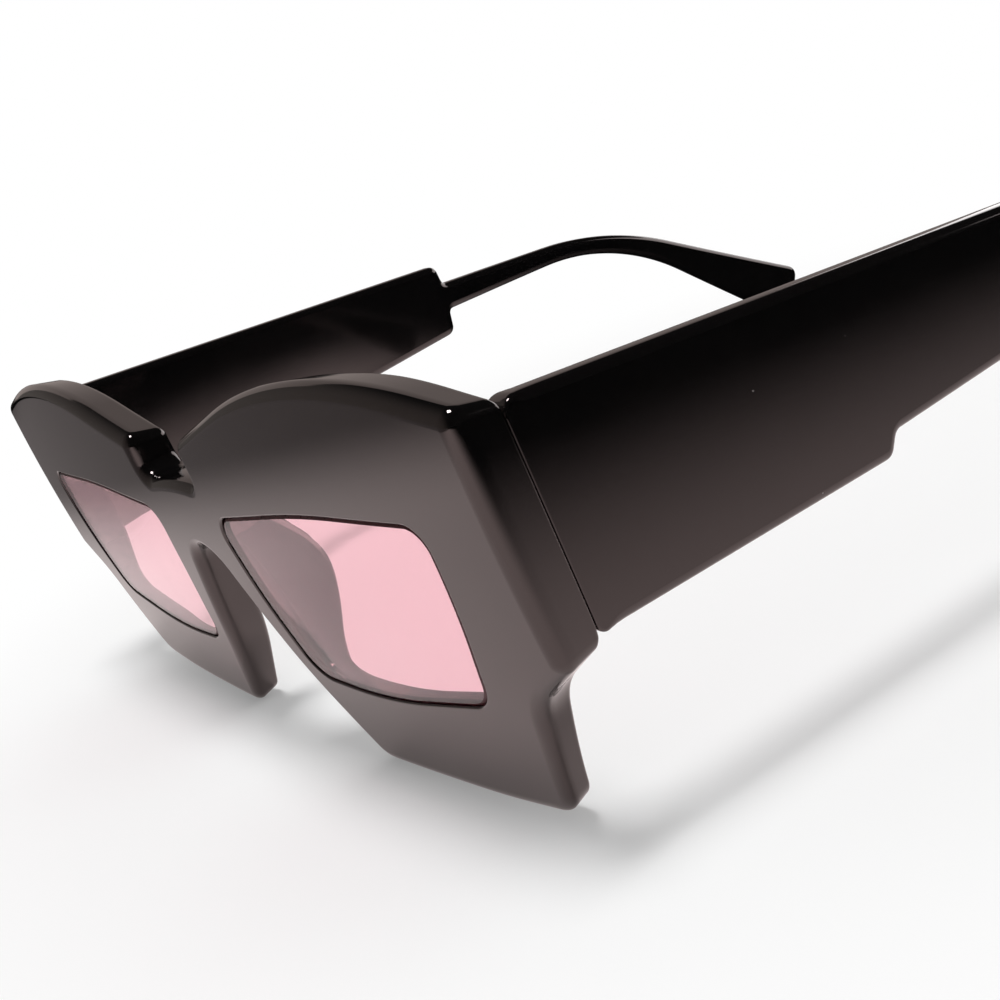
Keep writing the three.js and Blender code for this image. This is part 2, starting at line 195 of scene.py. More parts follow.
# Finishes: linear colours, and noises as (scale, detail). A noise's values lie mostly within NOISE_SPAN.
NOISE_SPAN = (0.3, 0.7)
PLASTIC_BLACK = (0.0025, 0.0023, 0.0024)
# Tint of the plastic's reflections: painted pink light, as from the lenses onto the floor.
PAINTED_REFLECTION_TINT = (1.0, 0.85, 0.83)
PLASTIC_IOR = 1.8
PLASTIC_ROUGHNESS = (0.05, 0.11)
PLASTIC_SMEAR = (55.0, 4.0)
PLASTIC_RIPPLE = (90.0, 2.0)
PLASTIC_RIPPLE_STRENGTH = 0.05
PLASTIC_RIPPLE_HEIGHT = 0.0002
DUST_GREY = (0.25, 0.24, 0.24)
DUST_SCALE = 210.0
DUST_THRESHOLD = 0.8
DUST_RADIUS = (0.012, 0.02)
DUST_ROUGHNESS = 0.5
LENS_PINK = (1.0, 0.565, 0.63)
LENS_PINK_DEEP = (0.99, 0.535, 0.60)
LENS_SHADOW = (0.98, 0.75, 0.79)
# The lens's ground edge: its gathered tint, with painted shade of the gap between lens and rim.
LENS_EDGE_SHADE_DARK = (0.06, 0.007, 0.011)
LENS_EDGE_SHADE_LIGHT = (0.075, 0.01, 0.015)
LENS_EDGE_ROUGHNESS = (0.25, 0.4)
LENS_IOR = 1.5
LENS_ROUGHNESS = (0.0, 0.02)
LENS_CLOUD = (40.0, 3.0)
LENS_GRIND = (2000.0, 2.0)
NICKEL_DARK = (0.48, 0.47, 0.45)
NICKEL_LIGHT = (0.62, 0.61, 0.59)
NICKEL_ROUGHNESS = (0.22, 0.36)
NICKEL_BRUSHING = (6000.0, 6000.0, 500.0)
NICKEL_GRAIN = (1.0, 3.0)
NICKEL_BUMP_STRENGTH = 0.15
NICKEL_BUMP_HEIGHT = 0.00005

# Stage, in metres: a white floor, soft lamps, and a sheet and a glowing dome that paint shade and light into
# the reflections. Each side of the sheet is (direction, distances along it, openness at each). A lamp is
# (name, place, size, brightness, colour).
FLOOR_RADIUS = 6.0
FLOOR_Z = -0.0001
DISC_STEPS = 96
FLOOR_WHITE = (0.93, 0.93, 0.93)
FLOOR_WHITE_DEEP = (0.915, 0.915, 0.915)
FLOOR_GRAIN = (30.0, 2.0)
FLOOR_FADE = (0.085, 0.17)
FLOOR_WHITENING = (0.2, 1.0)
# The sheet is seen only in reflections and is painted shade: black where closed, and open to the floor in
# front of the object, where it leaves a painted pool of light.
SHADE_SHEET_Z = 0.0003
SHADE_SHEET_LEFT = ((1.0, 1.2, 0.0), (-0.34, -0.19), (0.22, 1.0))
SHADE_SHEET_RIGHT = ((1.0, 0.25, 0.0), (0.07, 0.215), (1.0, 0.0))
SHADE_SHEET_BACK = ((-0.35, 1.0, 0.0), (0.03, 0.08), (1.0, 0.0))
# Tint of the floor seen through the sheet's opening: painted pink light in the reflections.
PAINTED_PINK_LIGHT = (1.0, 0.89, 0.88)
SHADE_SHEET_BLACK = (0.004, 0.004, 0.004)
# The dome glows though it is no lamp and is seen only in reflections: painted dark surroundings, painted
# lighter towards one side.
REFLECTION_DOME_RADIUS = 1.6
REFLECTION_DOME_STEPS = (48, 24)
REFLECTION_DOME_FOOT = -0.0001
REFLECTION_DOME_DARK = (0.012, 0.0115, 0.011)
REFLECTION_DOME_LIGHT = (0.2, 0.178, 0.165)
REFLECTION_DOME_BRIGHT_SIDE = (-0.64, -0.77, 0.0)
REFLECTION_DOME_SPAN = (0.2, 1.0)
WHITE = (1.0, 1.0, 1.0)
WORLD_LIGHT = 0.3
LAMP_TARGET = (0.0, -0.03, 0.03)
LAMP_ROSE = (1.0, 0.84, 0.79)
SOFTBOXES = [
    ("overhead", (0.1, -0.1, 1.2), (0.32, 0.32), 28.0, WHITE),
    ("back_panel", (0.0, 1.1, 0.36), (1.8, 0.5), 2.0, WHITE),
    ("left_panel", (-1.1, 0.5, 0.45), (1.5, 0.9), 0.3, LAMP_ROSE),
]

# Camera: the upper view of the photograph, in metres and pixels.
IMAGE_WIDTH = 1000
CAMERA_PLACE = (0.17754, -0.140164, 0.074126)
CAMERA_FORWARD = (-0.840736, 0.465449, -0.276623)
CAMERA_UP = (-0.060778, 0.426542, 0.902424)
CAMERA_FOCAL_PIXELS = 1488.1
CAMERA_SENSOR_MM = 36.0
CAMERA_CLIP_START = 0.01


def smoothstep(low, high, value):
    """0 below low, 1 above high, and a smooth rise between."""
    t = np.clip((value - low) / (high - low), 0.0, 1.0)
    return t * t * (3.0 - 2.0 * t)


# Frame of the CAD model, read from the left hinge's joint.
left_joint = next(j for j in frame["joints"] if j["child"] == "temple_left")
joint_axis = Vector(left_joint["axis"])
lean = math.atan2(-joint_axis.y, joint_axis.z)
LEANED = Matrix.Rotation(lean, 3, "X")
FRONT_ORIGIN = Vector(left_joint["pos_m"]) - LEANED @ (HINGE * MM)


def to_cad(points):
    """Upright millimetres of the front to metres of the CAD model."""
    return np.asarray(points) @ (np.array(LEANED).T * MM) + np.array(FRONT_ORIGIN)


# Outlines


def filleted_loop(corners):
    """Closed outline through (u, v, radius) corners, with even points on its arcs and straights."""
    bends = []
    for i, (u, v, radius) in enumerate(corners):
        corner = np.array((u, v))
        to_before = np.array(corners[i - 1][:2]) - corner
        to_after = np.array(corners[(i + 1) % len(corners)][:2]) - corner
        to_before /= np.linalg.norm(to_before)
        to_after /= np.linalg.norm(to_after)
        half = math.acos(np.clip(to_before @ to_after, -1.0, 1.0)) / 2
        middle = (to_before + to_after) / np.linalg.norm(to_before + to_after)
        centre = corner + middle * radius / math.sin(half)
        first = corner + to_before * radius / math.tan(half) - centre
        last = corner + to_after * radius / math.tan(half) - centre
        start = math.atan2(first[1], first[0])
        sweep = math.atan2(first[0] * last[1] - first[1] * last[0], first @ last)
        steps_by_angle = math.ceil(abs(sweep) / ARC_STEP)
        steps_by_length = math.ceil(abs(sweep) * radius / EDGE_STEP)
        steps = max(MIN_ARC_STEPS, steps_by_angle, steps_by_length)
        angles = start + sweep * np.linspace(0.0, 1.0, steps + 1)
        bends.append(centre + radius * np.stack([np.cos(angles), np.sin(angles)], axis=1))
    loop = []
    for i, bend in enumerate(bends):
        loop.extend(bend)
        gap = bends[(i + 1) % len(bends)][0] - bend[-1]
        steps = math.ceil(np.linalg.norm(gap) / EDGE_STEP)
        loop.extend(bend[-1] + gap * k / steps for k in range(1, steps))
    loop = np.array(loop)
    return loop[np.linalg.norm(np.roll(loop, -1, axis=0) - loop, axis=1) > WELD]


def inward_normals(loop):
    """Unit normals at the points of a closed outline, into it."""
    ahead = np.roll(loop, -1, axis=0) - loop
    ahead /= np.linalg.norm(ahead, axis=1, keepdims=True)
    along = ahead + np.roll(ahead, 1, axis=0)
    along /= np.linalg.norm(along, axis=1, keepdims=True)
    after = np.roll(loop, -1, axis=0)
    area = np.sum(loop[:, 0] * after[:, 1] - loop[:, 1] * after[:, 0])
    return np.stack([-along[:, 1], along[:, 0]], axis=1) * math.copysign(1.0, area)


def inside(points, loop):
    """Which points lie inside a closed outline."""
    x, y = points[:, :1], points[:, 1:]
    x0, y0 = loop[:, 0], loop[:, 1]
    x1, y1 = np.roll(x0, -1), np.roll(y0, -1)
    rise = np.where(y1 == y0, 1.0, y1 - y0)
    crosses = ((y0 > y) != (y1 > y)) & (x < x0 + (y - y0) * (x1 - x0) / rise)
    return crosses.sum(axis=1) % 2 == 1


def hex_grid(loops, step):
    """Evenly spaced points inside the first outline and outside the others, clear of all of them."""
    low, high = loops[0].min(axis=0), loops[0].max(axis=0)
    row = step * math.sqrt(0.75)
    grid = []
    for j, v in enumerate(np.arange(low[1] + row / 2, high[1], row)):
        us = np.arange(low[0] + step * (0.5 + 0.5 * (j % 2)), high[0], step)
        grid.append(np.stack([us, np.full_like(us, v)], axis=1))
    grid = np.concatenate(grid)
    keep = inside(grid, loops[0])
    for hole in loops[1:]:
        keep &= ~inside(grid, hole)
    grid = grid[keep]
    rims = np.concatenate(loops)
    nearest = np.min(np.linalg.norm(grid[:, None] - rims[None], axis=2), axis=1)
    return grid[nearest > GRID_CLEARANCE * step]


def surface_normals(flat, place):
    """Normals, up to their sign, of the surface on which place puts flat points."""
    across, along = np.array((NORMAL_STEP, 0.0)), np.array((0.0, NORMAL_STEP))
    step_across = place(flat + across) - place(flat - across)
    step_along = place(flat + along) - place(flat - along)
    normals = np.cross(step_across, step_along)
    return normals / np.linalg.norm(normals, axis=1, keepdims=True)


class Shell:
    """A closed surface gathered from lofts and filled faces."""

    def __init__(self):
        self.points = []
        self.faces = []
        self.true_points = []
        self.true_normals = []

    def add(self, points, faces):
        start = len(self.points)
        self.points.extend(points)
        self.faces.extend([start + k for k in face] for face in faces)

    def loft(self, rings):
        """Quads between closed rings of the same number of points."""
        count = len(rings[0])
        quads = []
        for r in range(len(rings) - 1):
            for i in range(count):
                j = (i + 1) % count
                quads.append((r * count + i, r * count + j, (r + 1) * count + j, (r + 1) * count + i))
        self.add(np.concatenate(rings), quads)

    def fill(self, loops, step, place, creased=False):
        """Triangles inside loops[0] and outside the other loops; place gives each flat point its position.

        Unless its border is a crease, the filled face keeps the true normals of its surface.
        """
        flat = np.concatenate([*loops, hex_grid(loops, step)])
        edges = []
        for loop in loops:
            start = len(edges)
            edges.extend((start + i, start + (i + 1) % len(loop)) for i in range(len(loop)))
        made = delaunay_2d_cdt([Vector(p) for p in flat], edges, [], FILL_INSIDE, FILL_TOLERANCE)
        spots = np.array([tuple(p) for p in made[0]])
        triangles = np.array(made[2])
        middles = spots[triangles].mean(axis=1)
        keep = inside(middles, loops[0])
        for hole in loops[1:]:
            keep &= ~inside(middles, hole)
        placed = place(spots)
        self.add(placed, triangles[keep].tolist())
        if not creased:
            self.true_points.extend(placed)
            self.true_normals.extend(surface_normals(spots, place))

    def build(self, name):
        """Welds the gathered faces into one smooth mesh object."""
        work = bmesh.new()
        verts = [work.verts.new(p) for p in self.points]
        for face in self.faces:
            work.faces.new([verts[k] for k in face])
        bmesh.ops.remove_doubles(work, verts=work.verts, dist=WELD * MM)
        bmesh.ops.dissolve_degenerate(work, edges=work.edges, dist=WELD * MM)
        bmesh.ops.recalc_face_normals(work, faces=work.faces)
        piece = finished(work, name)
        if self.true_points:
            self.set_normals(piece.data)
        return piece

    def set_normals(self, mesh):
        """Gives the filled faces' vertices their true normals and leaves the others as they are."""
        tree = KDTree(len(self.true_points))
        for index, point in enumerate(self.true_points):
            tree.insert(point, index)
        tree.balance()
        normals = []
        for vert in mesh.vertices:
            _, index, distance = tree.find(vert.co)
            normal = Vector(self.true_normals[index]) if distance < WELD * MM else Vector()
            normals.append(normal if normal @ vert.normal > 0.0 else -normal)
        mesh.normals_split_custom_set_from_vertices(normals)


def finished(work, name):
    """Turns a bmesh into a smooth-shaded object that keeps its true creases."""
    mesh = bpy.data.meshes.new(name)
    work.to_mesh(mesh)
    work.free()
    mesh.shade_smooth()
    mesh.set_sharp_from_angle(angle=CREASE)
    piece = bpy.data.objects.new(name, mesh)
    bpy.context.scene.collection.objects.link(piece)
    return piece


def quarter_round(radius):
    """(inset, depth) pairs from a face, round its edge, to the wall."""
    angles = np.linspace(0.0, math.pi / 2, ROUND_STEPS + 1)
    return [(radius * (1 - math.sin(a)), radius * (1 - math.cos(a))) for a in angles]


# Front


def face_bend(flat):
    """How far the curved face lies behind its crest, and the share of the thickness left at each point."""
    x, z = flat[:, 0], flat[:, 1]
    below = z - FACE_CREST_Z
    face = x**2 / (2 * FACE_RADIUS_ACROSS) + below**2 / (2 * FACE_RADIUS_UPRIGHT)
    thin = (1 - smoothstep(*THIN_Z, z)) * smoothstep(*WING_X, np.abs(x))
    return face, 1 - LOBE_THINNING * thin


def on_face(flat, depth):
    """Points on the curved face, pressed in by a depth, in the CAD model's frame."""
    face, share = face_bend(flat)
    return to_cad(np.stack([flat[:, 0], face + depth * share, flat[:, 1]], axis=1))


def at_level(flat, level):
    """Points on the curved face, all pressed in by the same depth."""
    return on_face(flat, np.full(len(flat), level))


def pad_share(flat):
    """How far a point of the rim belongs to a nose pad, from 0 to 1."""
    across = np.abs(flat[:, 0]) - PAD_CENTRE[0]
    up = flat[:, 1] - PAD_CENTRE[1]
    aside = (across * math.cos(PAD_TILT) + up * math.sin(PAD_TILT)) / PAD_RADII[0]
    along = (up * math.cos(PAD_TILT) - across * math.sin(PAD_TILT)) / PAD_RADII[1]
    reach = np.minimum(1.0, np.hypot(aside, along))
    sharpness, steepness = PAD_FALLOFF
    return (1 - reach**sharpness) ** steepness


def back_depth(flat):
    """Thickness of the front: a plate, with a ramp up to each endpiece's seat and a swell for each pad."""
    x, z = flat[:, 0], flat[:, 1]
    ramp = smoothstep(*RAMP_X, np.abs(x)) * smoothstep(*RAMP_Z, z)
    face, share = face_bend(flat)
    rise = SEAT_Y - face - PLATE_THICKNESS * share
    return PLATE_THICKNESS + (rise * ramp + PAD_HEIGHT * pad_share(flat)) / share


def front_outline():
    mirrored = [(-x, z, radius) for x, z, radius in reversed(HALF_OUTLINE)]
    return filleted_loop([BRIDGE_CROWN, *HALF_OUTLINE, NOSE_ARCH, *mirrored])


def lens_outline(side):
    return filleted_loop([(side * x, z, radius) for x, z, radius in LENS_OUTLINE])


def rim_rings(loop, steps, slope, back_radius, side):
    """Flat rings and depths from the face, along a rim's wall and onto the back.

    steps are (inset, depth) pairs up to the wall, slope is the wall's draft, and side is 1 where the plastic
    lies inside the loop and -1 where it lies outside.
    """
    normals = inward_normals(loop)
    rings = [(loop + normals * inset, np.full(len(loop), depth)) for inset, depth in steps]
    wall_inset, wall_start = steps[-1]
    wall_end = back_depth(loop) - back_radius
    for share in WALL_SHARES:
        depth = wall_start + (wall_end - wall_start) * share
        inset = wall_inset + slope * (depth - wall_start)
        rings.append((loop + normals * inset[:, None], depth))
    end_inset = wall_inset + slope * (wall_end - wall_start)
    for angle in np.linspace(0.0, math.pi / 2, ROUND_STEPS + 1):
        inset = end_inset + side * back_radius * (1 - math.cos(angle))
        flat = loop + normals * inset[:, None]
        rings.append((flat, wall_end + back_radius * math.sin(angle)))
    last_flat = rings[-1][0]
    rings[-1] = (last_flat, back_depth(last_flat))
    return rings


def hinge_boss(shell, side):
    """Raised seat behind an endpiece for the hinge's front leaf."""
    (x0, x1), (z0, z1) = BOSS_X, BOSS_Z
    corners = [(x0, z0), (x1, z0), (x1, z1), (x0, z1)]
    loop = filleted_loop([(side * x, z, BOSS_CORNER) for x, z in corners])
    normals = inward_normals(loop)
    root = SEAT_Y - BOSS_DEPTH

    def at_depth(flat, y):
        return to_cad(np.stack([flat[:, 0], np.full(len(flat), y), flat[:, 1]], axis=1))

    steps = quarter_round(BOSS_EDGE_RADIUS)
    rings = [at_depth(loop + normals * inset, SEAT_Y - depth) for inset, depth in steps]
    shell.loft([*rings, at_depth(loop, root)])
    shell.fill([loop + normals * BOSS_EDGE_RADIUS], FACE_GRID, lambda flat: at_depth(flat, SEAT_Y))
    shell.fill([loop], FACE_GRID, lambda flat: at_depth(flat, root), creased=True)


def make_front():
    shell = Shell()
    outline = front_outline()
    back_radius = BACK_EDGE_RADIUS + (PAD_EDGE_RADIUS - BACK_EDGE_RADIUS) * pad_share(outline)
    seam = smoothstep(*SEAM_X, np.abs(outline[:, 0])) * smoothstep(*SEAM_Z, outline[:, 1])
    back_radius += (SEAM_EDGE_RADIUS - back_radius) * seam * inward_normals(outline)[:, 0] ** 2
    outer = rim_rings(outline, quarter_round(FACE_EDGE_RADIUS), DRAFT_SLOPE, back_radius, 1)
    fall = BROW_FALL * smoothstep(*BROW_FALL_Z, outline[:, 1])
    for flat, depth in outer:
        flat[:, 1] -= fall * np.maximum(0.0, depth - FACE_EDGE_RADIUS)
    shell.loft([on_face(*ring) for ring in outer])
    front_loops, back_loops = [outer[0][0]], [outer[-1][0]]

    groove_depth, groove_half, groove_height = APERTURE_GROOVE
    steps = [(-inset, depth) for inset, depth in quarter_round(APERTURE_ROLL)]
    steps.append((0.0, groove_depth - groove_half))
    steps.append((-groove_height, groove_depth))
    steps.append((0.0, groove_depth + groove_half))
    for side in (LEFT, RIGHT):
        opening = rim_rings(lens_outline(side), steps, 0.0, APERTURE_BACK_RADIUS, -1)
        shell.loft([on_face(*ring) for ring in opening])
        front_loops.append(opening[0][0])
        back_loops.append(opening[-1][0])
        hinge_boss(shell, side)
    shell.fill(front_loops, FACE_GRID, lambda flat: at_level(flat, 0.0))
    shell.fill(back_loops, FACE_GRID, lambda flat: on_face(flat, back_depth(flat)))
    return shell.build("moulded_front")


def make_lens(side):
    """A plate curved like the face, with bevelled edges and the ridge that holds it in the rim's groove."""
    shell = Shell()
    loop = lens_outline(side)
    normals = inward_normals(loop)
    ridge_depth, ridge_half, ridge_height = LENS_RIDGE
    profile = [
        (LENS_GAP + LENS_BEVEL, LENS_FRONT),
        (LENS_GAP, LENS_FRONT + LENS_BEVEL),
        (LENS_GAP, ridge_depth - ridge_half),
        (LENS_GAP - ridge_height, ridge_depth),
        (LENS_GAP, ridge_depth + ridge_half),
        (LENS_GAP, LENS_BACK - LENS_BACK_BEVEL),
        (LENS_GAP + LENS_BACK_BEVEL, LENS_BACK),
    ]
    rings = [(loop + normals * inset, level) for inset, level in profile]
    shell.loft([at_level(*ring) for ring in rings])
    for flat, level in (rings[0], rings[-1]):
        shell.fill([flat], TEMPLE_GRID, lambda spots, at=level: at_level(spots, at), creased=True)
    lens = shell.build(f"tinted_lens_{SIDE_NAME[side]}")
    lens.data.set_sharp_from_angle(angle=LENS_CREASE)
    facing = LEANED @ Vector((0.0, 1.0, 0.0))
    for face in lens.data.polygons:
        face.material_index = int(abs(face.normal @ facing) < LENS_FACE_COSINE)
    return lens


# Temples and hinges


def on_hinge(points, side):
    """Points about a hinge's axis, x outwards and y to the back, in the CAD model's frame."""
    return to_cad(np.asarray(points) * (side, 1.0, 1.0) + (side * HINGE.x, HINGE.y, 0.0))


def on_temple(points, side):
    """Points about a hinge's axis that splay with the open temple."""
    x, y, z = np.asarray(points).T
    c, s = math.cos(TEMPLE_SPLAY), math.sin(TEMPLE_SPLAY)
    return on_hinge(np.stack([x * c + y * s, y * c - x * s, z], axis=1), side)


def temple_points(flat, level, side):
    """Side-view points of a temple at a level through its thickness, from 0 inside to TEMPLE_THICKNESS."""
    y = flat[:, 0]
    thickness = TEMPLE_THICKNESS + (ARM_THICKNESS - TEMPLE_THICKNESS) * smoothstep(*ARM_TAPER_Y, y)
    past = np.maximum(0.0, y - BOW_START_Y) / BOW_LENGTH
    middle = TEMPLE_INNER_X + TEMPLE_THICKNESS / 2 - BOW_DEPTH * past**2
    across = middle + (level / TEMPLE_THICKNESS - 0.5) * thickness
    return on_temple(np.stack([across, y - HINGE.y, flat[:, 1]], axis=1), side)


def make_temple(side):
    shell = Shell()
    loop = filleted_loop(TEMPLE_OUTLINE)
    normals = inward_normals(loop)
    grown = smoothstep(*SEAM_Y, loop[:, 0])
    radius = SEAM_EDGE_RADIUS + (TEMPLE_EDGE_RADIUS - SEAM_EDGE_RADIUS) * grown
    steps = [(inset * radius, depth * radius) for inset, depth in quarter_round(1.0)]
    profile = steps + [(inset, TEMPLE_THICKNESS - depth) for inset, depth in reversed(steps)]
    shell.loft([temple_points(loop + normals * inset[:, None], level, side) for inset, level in profile])
    face = loop + normals * radius[:, None]
    for level in (0.0, TEMPLE_THICKNESS):
        shell.fill([face], TEMPLE_GRID, lambda flat, at=level: temple_points(flat, at, side))
    return shell.build(f"temple_arm_{SIDE_NAME[side]}")


def rectangle(x_span, y_span, radius):
    corners = [(x_span[i], y_span[j], radius) for i, j in ((0, 0), (1, 0), (1, 1), (0, 1))]
    return filleted_loop(corners)


def circle(radius):
    angles = np.linspace(0.0, 2 * math.pi, CIRCLE_STEPS, endpoint=False)
    return radius * np.stack([np.cos(angles), np.sin(angles)], axis=1)


def half_moon(radius, slot_width, end):
    """Half a screw's head, on one side of its slot."""
    first = math.asin(slot_width / 2 / radius)
    angles = np.linspace(first, math.pi - first, CIRCLE_STEPS // 2)
    return radius * np.stack([np.cos(angles), end * np.sin(angles)], axis=1)


def add_prism(shell, loop, bottom, top, bevel, place):
    """An upright block over a flat loop, with rounded rims."""
    normals = inward_normals(loop)
    steps = [(bevel, 0.0), (BEVEL_KNEE * bevel, BEVEL_KNEE * bevel), (0.0, bevel)]
    profile = [(inset, bottom + rise) for inset, rise in steps]
    profile += [(inset, top - rise) for inset, rise in reversed(steps)]

    def raised(flat, z):
        return place(np.stack([flat[:, 0], flat[:, 1], np.full(len(flat), z)], axis=1))

    rings = [raised(loop + normals * inset, z) for inset, z in profile]
    shell.loft(rings)
    for ring in (rings[0], rings[-1]):
        shell.add(ring, [range(len(loop))])


def make_leaf(name, place, plate, webs, first_knuckle):
    """A hinge leaf: a plate, and every second knuckle with the web that carries it."""
    shell = Shell()
    bottom, top = HINGE.z - HINGE_HEIGHT / 2, HINGE.z + HINGE_HEIGHT / 2
    add_prism(shell, rectangle(*plate, LEAF_BEVEL), bottom, top, LEAF_BEVEL, place)
    pitch = (HINGE_HEIGHT + KNUCKLE_GAP) / KNUCKLES
    for index in range(first_knuckle, KNUCKLES, 2):
        low = bottom + index * pitch
        high = low + pitch - KNUCKLE_GAP
        add_prism(shell, circle(KNUCKLE_RADIUS), low, high, KNUCKLE_BEVEL, place)
        add_prism(shell, rectangle(*webs, KNUCKLE_BEVEL), low, high, KNUCKLE_BEVEL, place)
    return shell.build(name)


def make_front_leaf(side):
    seat = SEAT_Y - HINGE.y
    plate = (FRONT_LEAF_X, (seat - LEAF_THICKNESS, seat + LEAF_PROUD))
    webs = ((-KNUCKLE_RADIUS, FRONT_LEAF_X[1]), (seat - LEAF_THICKNESS / 2, 0.0))
    return make_leaf(f"front_leaf_{SIDE_NAME[side]}", lambda p: on_hinge(p, side), plate, webs, 0)


def make_temple_leaf(side):
    plate = (TEMPLE_LEAF_X, TEMPLE_LEAF_Y)
    webs = ((0.0, TEMPLE_LEAF_X[0] + LEAF_THICKNESS / 2), (0.0, TEMPLE_LEAF_Y[0] + LEAF_THICKNESS))
    return make_leaf(f"temple_leaf_{SIDE_NAME[side]}", lambda p: on_temple(p, side), plate, webs, 1)


def make_screw(side):
    shell = Shell()
    bottom, top = HINGE.z - HINGE_HEIGHT / 2, HINGE.z + HINGE_HEIGHT / 2
    crown = top + KNUCKLE_GAP + SCREW_HEAD_HEIGHT
    slot_width, slot_depth = SCREW_SLOT
    slot_floor = crown - slot_depth

    def place(points):
        return on_hinge(points, side)

    add_prism(shell, circle(SCREW_RADIUS), bottom - LEAF_PROUD, slot_floor, KNUCKLE_BEVEL, place)
    add_prism(shell, circle(SCREW_HEAD_RADIUS), top + KNUCKLE_GAP, slot_floor, KNUCKLE_BEVEL / 2, place)
    for end in (-1, 1):
        half = half_moon(SCREW_HEAD_RADIUS, slot_width, end)
        add_prism(shell, half, slot_floor - KNUCKLE_BEVEL, crown, KNUCKLE_BEVEL / 2, place)
    return shell.build(f"screw_{SIDE_NAME[side]}")


# Materials

# A mix node has several sockets of one name, so those for colours go by their numbers.
MIX_COLOUR_INPUTS = (6, 7)
MIX_COLOUR_OUTPUT = 2


class Nodes:
    """A material's or world's node tree, built by short calls."""

    def __init__(self, owner):
        owner.use_nodes = True
        self.tree = owner.node_tree
        self.tree.nodes.clear()

    def add(self, kind, **settings):
        node = self.tree.nodes.new(kind)
        for key, value in settings.items():
            if key in node.inputs:
                node.inputs[key].default_value = value
            else:
                setattr(node, key, value)
        return node

    def link(self, source, target):
        self.tree.links.new(source, target)

    def noise(self, vector, scale, detail):
        node = self.add("ShaderNodeTexNoise", Scale=scale, Detail=detail)
        self.link(vector, node.inputs["Vector"])
        return node.outputs["Fac"]

    def spread(self, value, from_span, to_span, kind="LINEAR"):
        """A value mapped from one span to another, clamped."""
        node = self.add("ShaderNodeMapRange", interpolation_type=kind)
        for name, number in zip(("From Min", "From Max", "To Min", "To Max"), (*from_span, *to_span)):
            node.inputs[name].default_value = number
        self.link(value, node.inputs["Value"])
        return node.outputs["Result"]

    def blend(self, share, first, second):
        """A colour between two colours."""
        node = self.add("ShaderNodeMix", data_type="RGBA")
        self.link(share, node.inputs["Factor"])
        for index, colour in zip(MIX_COLOUR_INPUTS, (first, second)):
            node.inputs[index].default_value = (*colour, 1.0)
        return node.outputs[MIX_COLOUR_OUTPUT]

    def mix(self, share, first, second):
        """A shader between two shaders."""
        node = self.add("ShaderNodeMixShader")
        for socket, source in zip(node.inputs, (share, first, second)):
            self.link(source, socket)
        return node.outputs["Shader"]

    def show(self, shader, kind="ShaderNodeOutputMaterial"):
        """Makes a shader the one that the surface or the world has."""
        self.link(shader, self.add(kind).inputs["Surface"])

    def math(self, operation, first, second):
        node = self.add("ShaderNodeMath", operation=operation)
        for socket, value in zip(node.inputs, (first, second)):
            if isinstance(value, (int, float)):
                socket.default_value = value
            else:
                self.link(value, socket)
        return node.outputs["Value"]


def plastic_material():
    """Polished black plastic: a faint mould ripple, slightly uneven gloss and a few specks of dust."""
    material = bpy.data.materials.new("polished_black")
    nodes = Nodes(material)
    place = nodes.add("ShaderNodeTexCoord").outputs["Object"]
    shader = nodes.add("ShaderNodeBsdfPrincipled")
    shader.inputs["IOR"].default_value = PLASTIC_IOR
    # Pink tint of the reflections: painted pink light.
    shader.inputs["Specular Tint"].default_value = (*PAINTED_REFLECTION_TINT, 1.0)

    smear = nodes.noise(place, *PLASTIC_SMEAR)
    specks = nodes.add("ShaderNodeTexVoronoi", Scale=DUST_SCALE)
    nodes.link(place, specks.inputs["Vector"])
    chance = nodes.add("ShaderNodeSeparateColor")
    nodes.link(specks.outputs["Color"], chance.inputs["Color"])
    chosen = nodes.math("GREATER_THAN", chance.outputs["Red"], DUST_THRESHOLD)
    near = nodes.spread(specks.outputs["Distance"], DUST_RADIUS, (1.0, 0.0))
    dust = nodes.math("MULTIPLY", chosen, near)
    nodes.link(nodes.blend(dust, PLASTIC_BLACK, DUST_GREY), shader.inputs["Base Color"])
    gloss = nodes.spread(smear, NOISE_SPAN, PLASTIC_ROUGHNESS)
    dulling = nodes.math("MULTIPLY", dust, DUST_ROUGHNESS)
    nodes.link(nodes.math("ADD", gloss, dulling), shader.inputs["Roughness"])

    ripple = nodes.add("ShaderNodeBump", Strength=PLASTIC_RIPPLE_STRENGTH, Distance=PLASTIC_RIPPLE_HEIGHT)
    nodes.link(nodes.noise(place, *PLASTIC_RIPPLE), ripple.inputs["Height"])
    nodes.link(ripple.outputs["Normal"], shader.inputs["Normal"])
    nodes.show(shader.outputs["BSDF"])
    return material


def lens_material():
    """Clear pale pink plastic with the faintest clouding of its tint and polish. Lamps shine through it."""
    material = bpy.data.materials.new("pink_lens")
    nodes = Nodes(material)
    place = nodes.add("ShaderNodeTexCoord").outputs["Object"]
    shader = nodes.add("ShaderNodeBsdfPrincipled")
    shader.inputs["Transmission Weight"].default_value = 1.0
    shader.inputs["IOR"].default_value = LENS_IOR
    cloud = nodes.noise(place, *LENS_CLOUD)
    nodes.link(nodes.blend(cloud, LENS_PINK, LENS_PINK_DEEP), shader.inputs["Base Color"])
    nodes.link(nodes.spread(cloud, NOISE_SPAN, LENS_ROUGHNESS), shader.inputs["Roughness"])
    clear = nodes.add("ShaderNodeBsdfTransparent", Color=(*LENS_SHADOW, 1.0))
    in_shadow = nodes.add("ShaderNodeLightPath").outputs["Is Shadow Ray"]
    nodes.show(nodes.mix(in_shadow, shader.outputs["BSDF"], clear.outputs["BSDF"]))
    return material


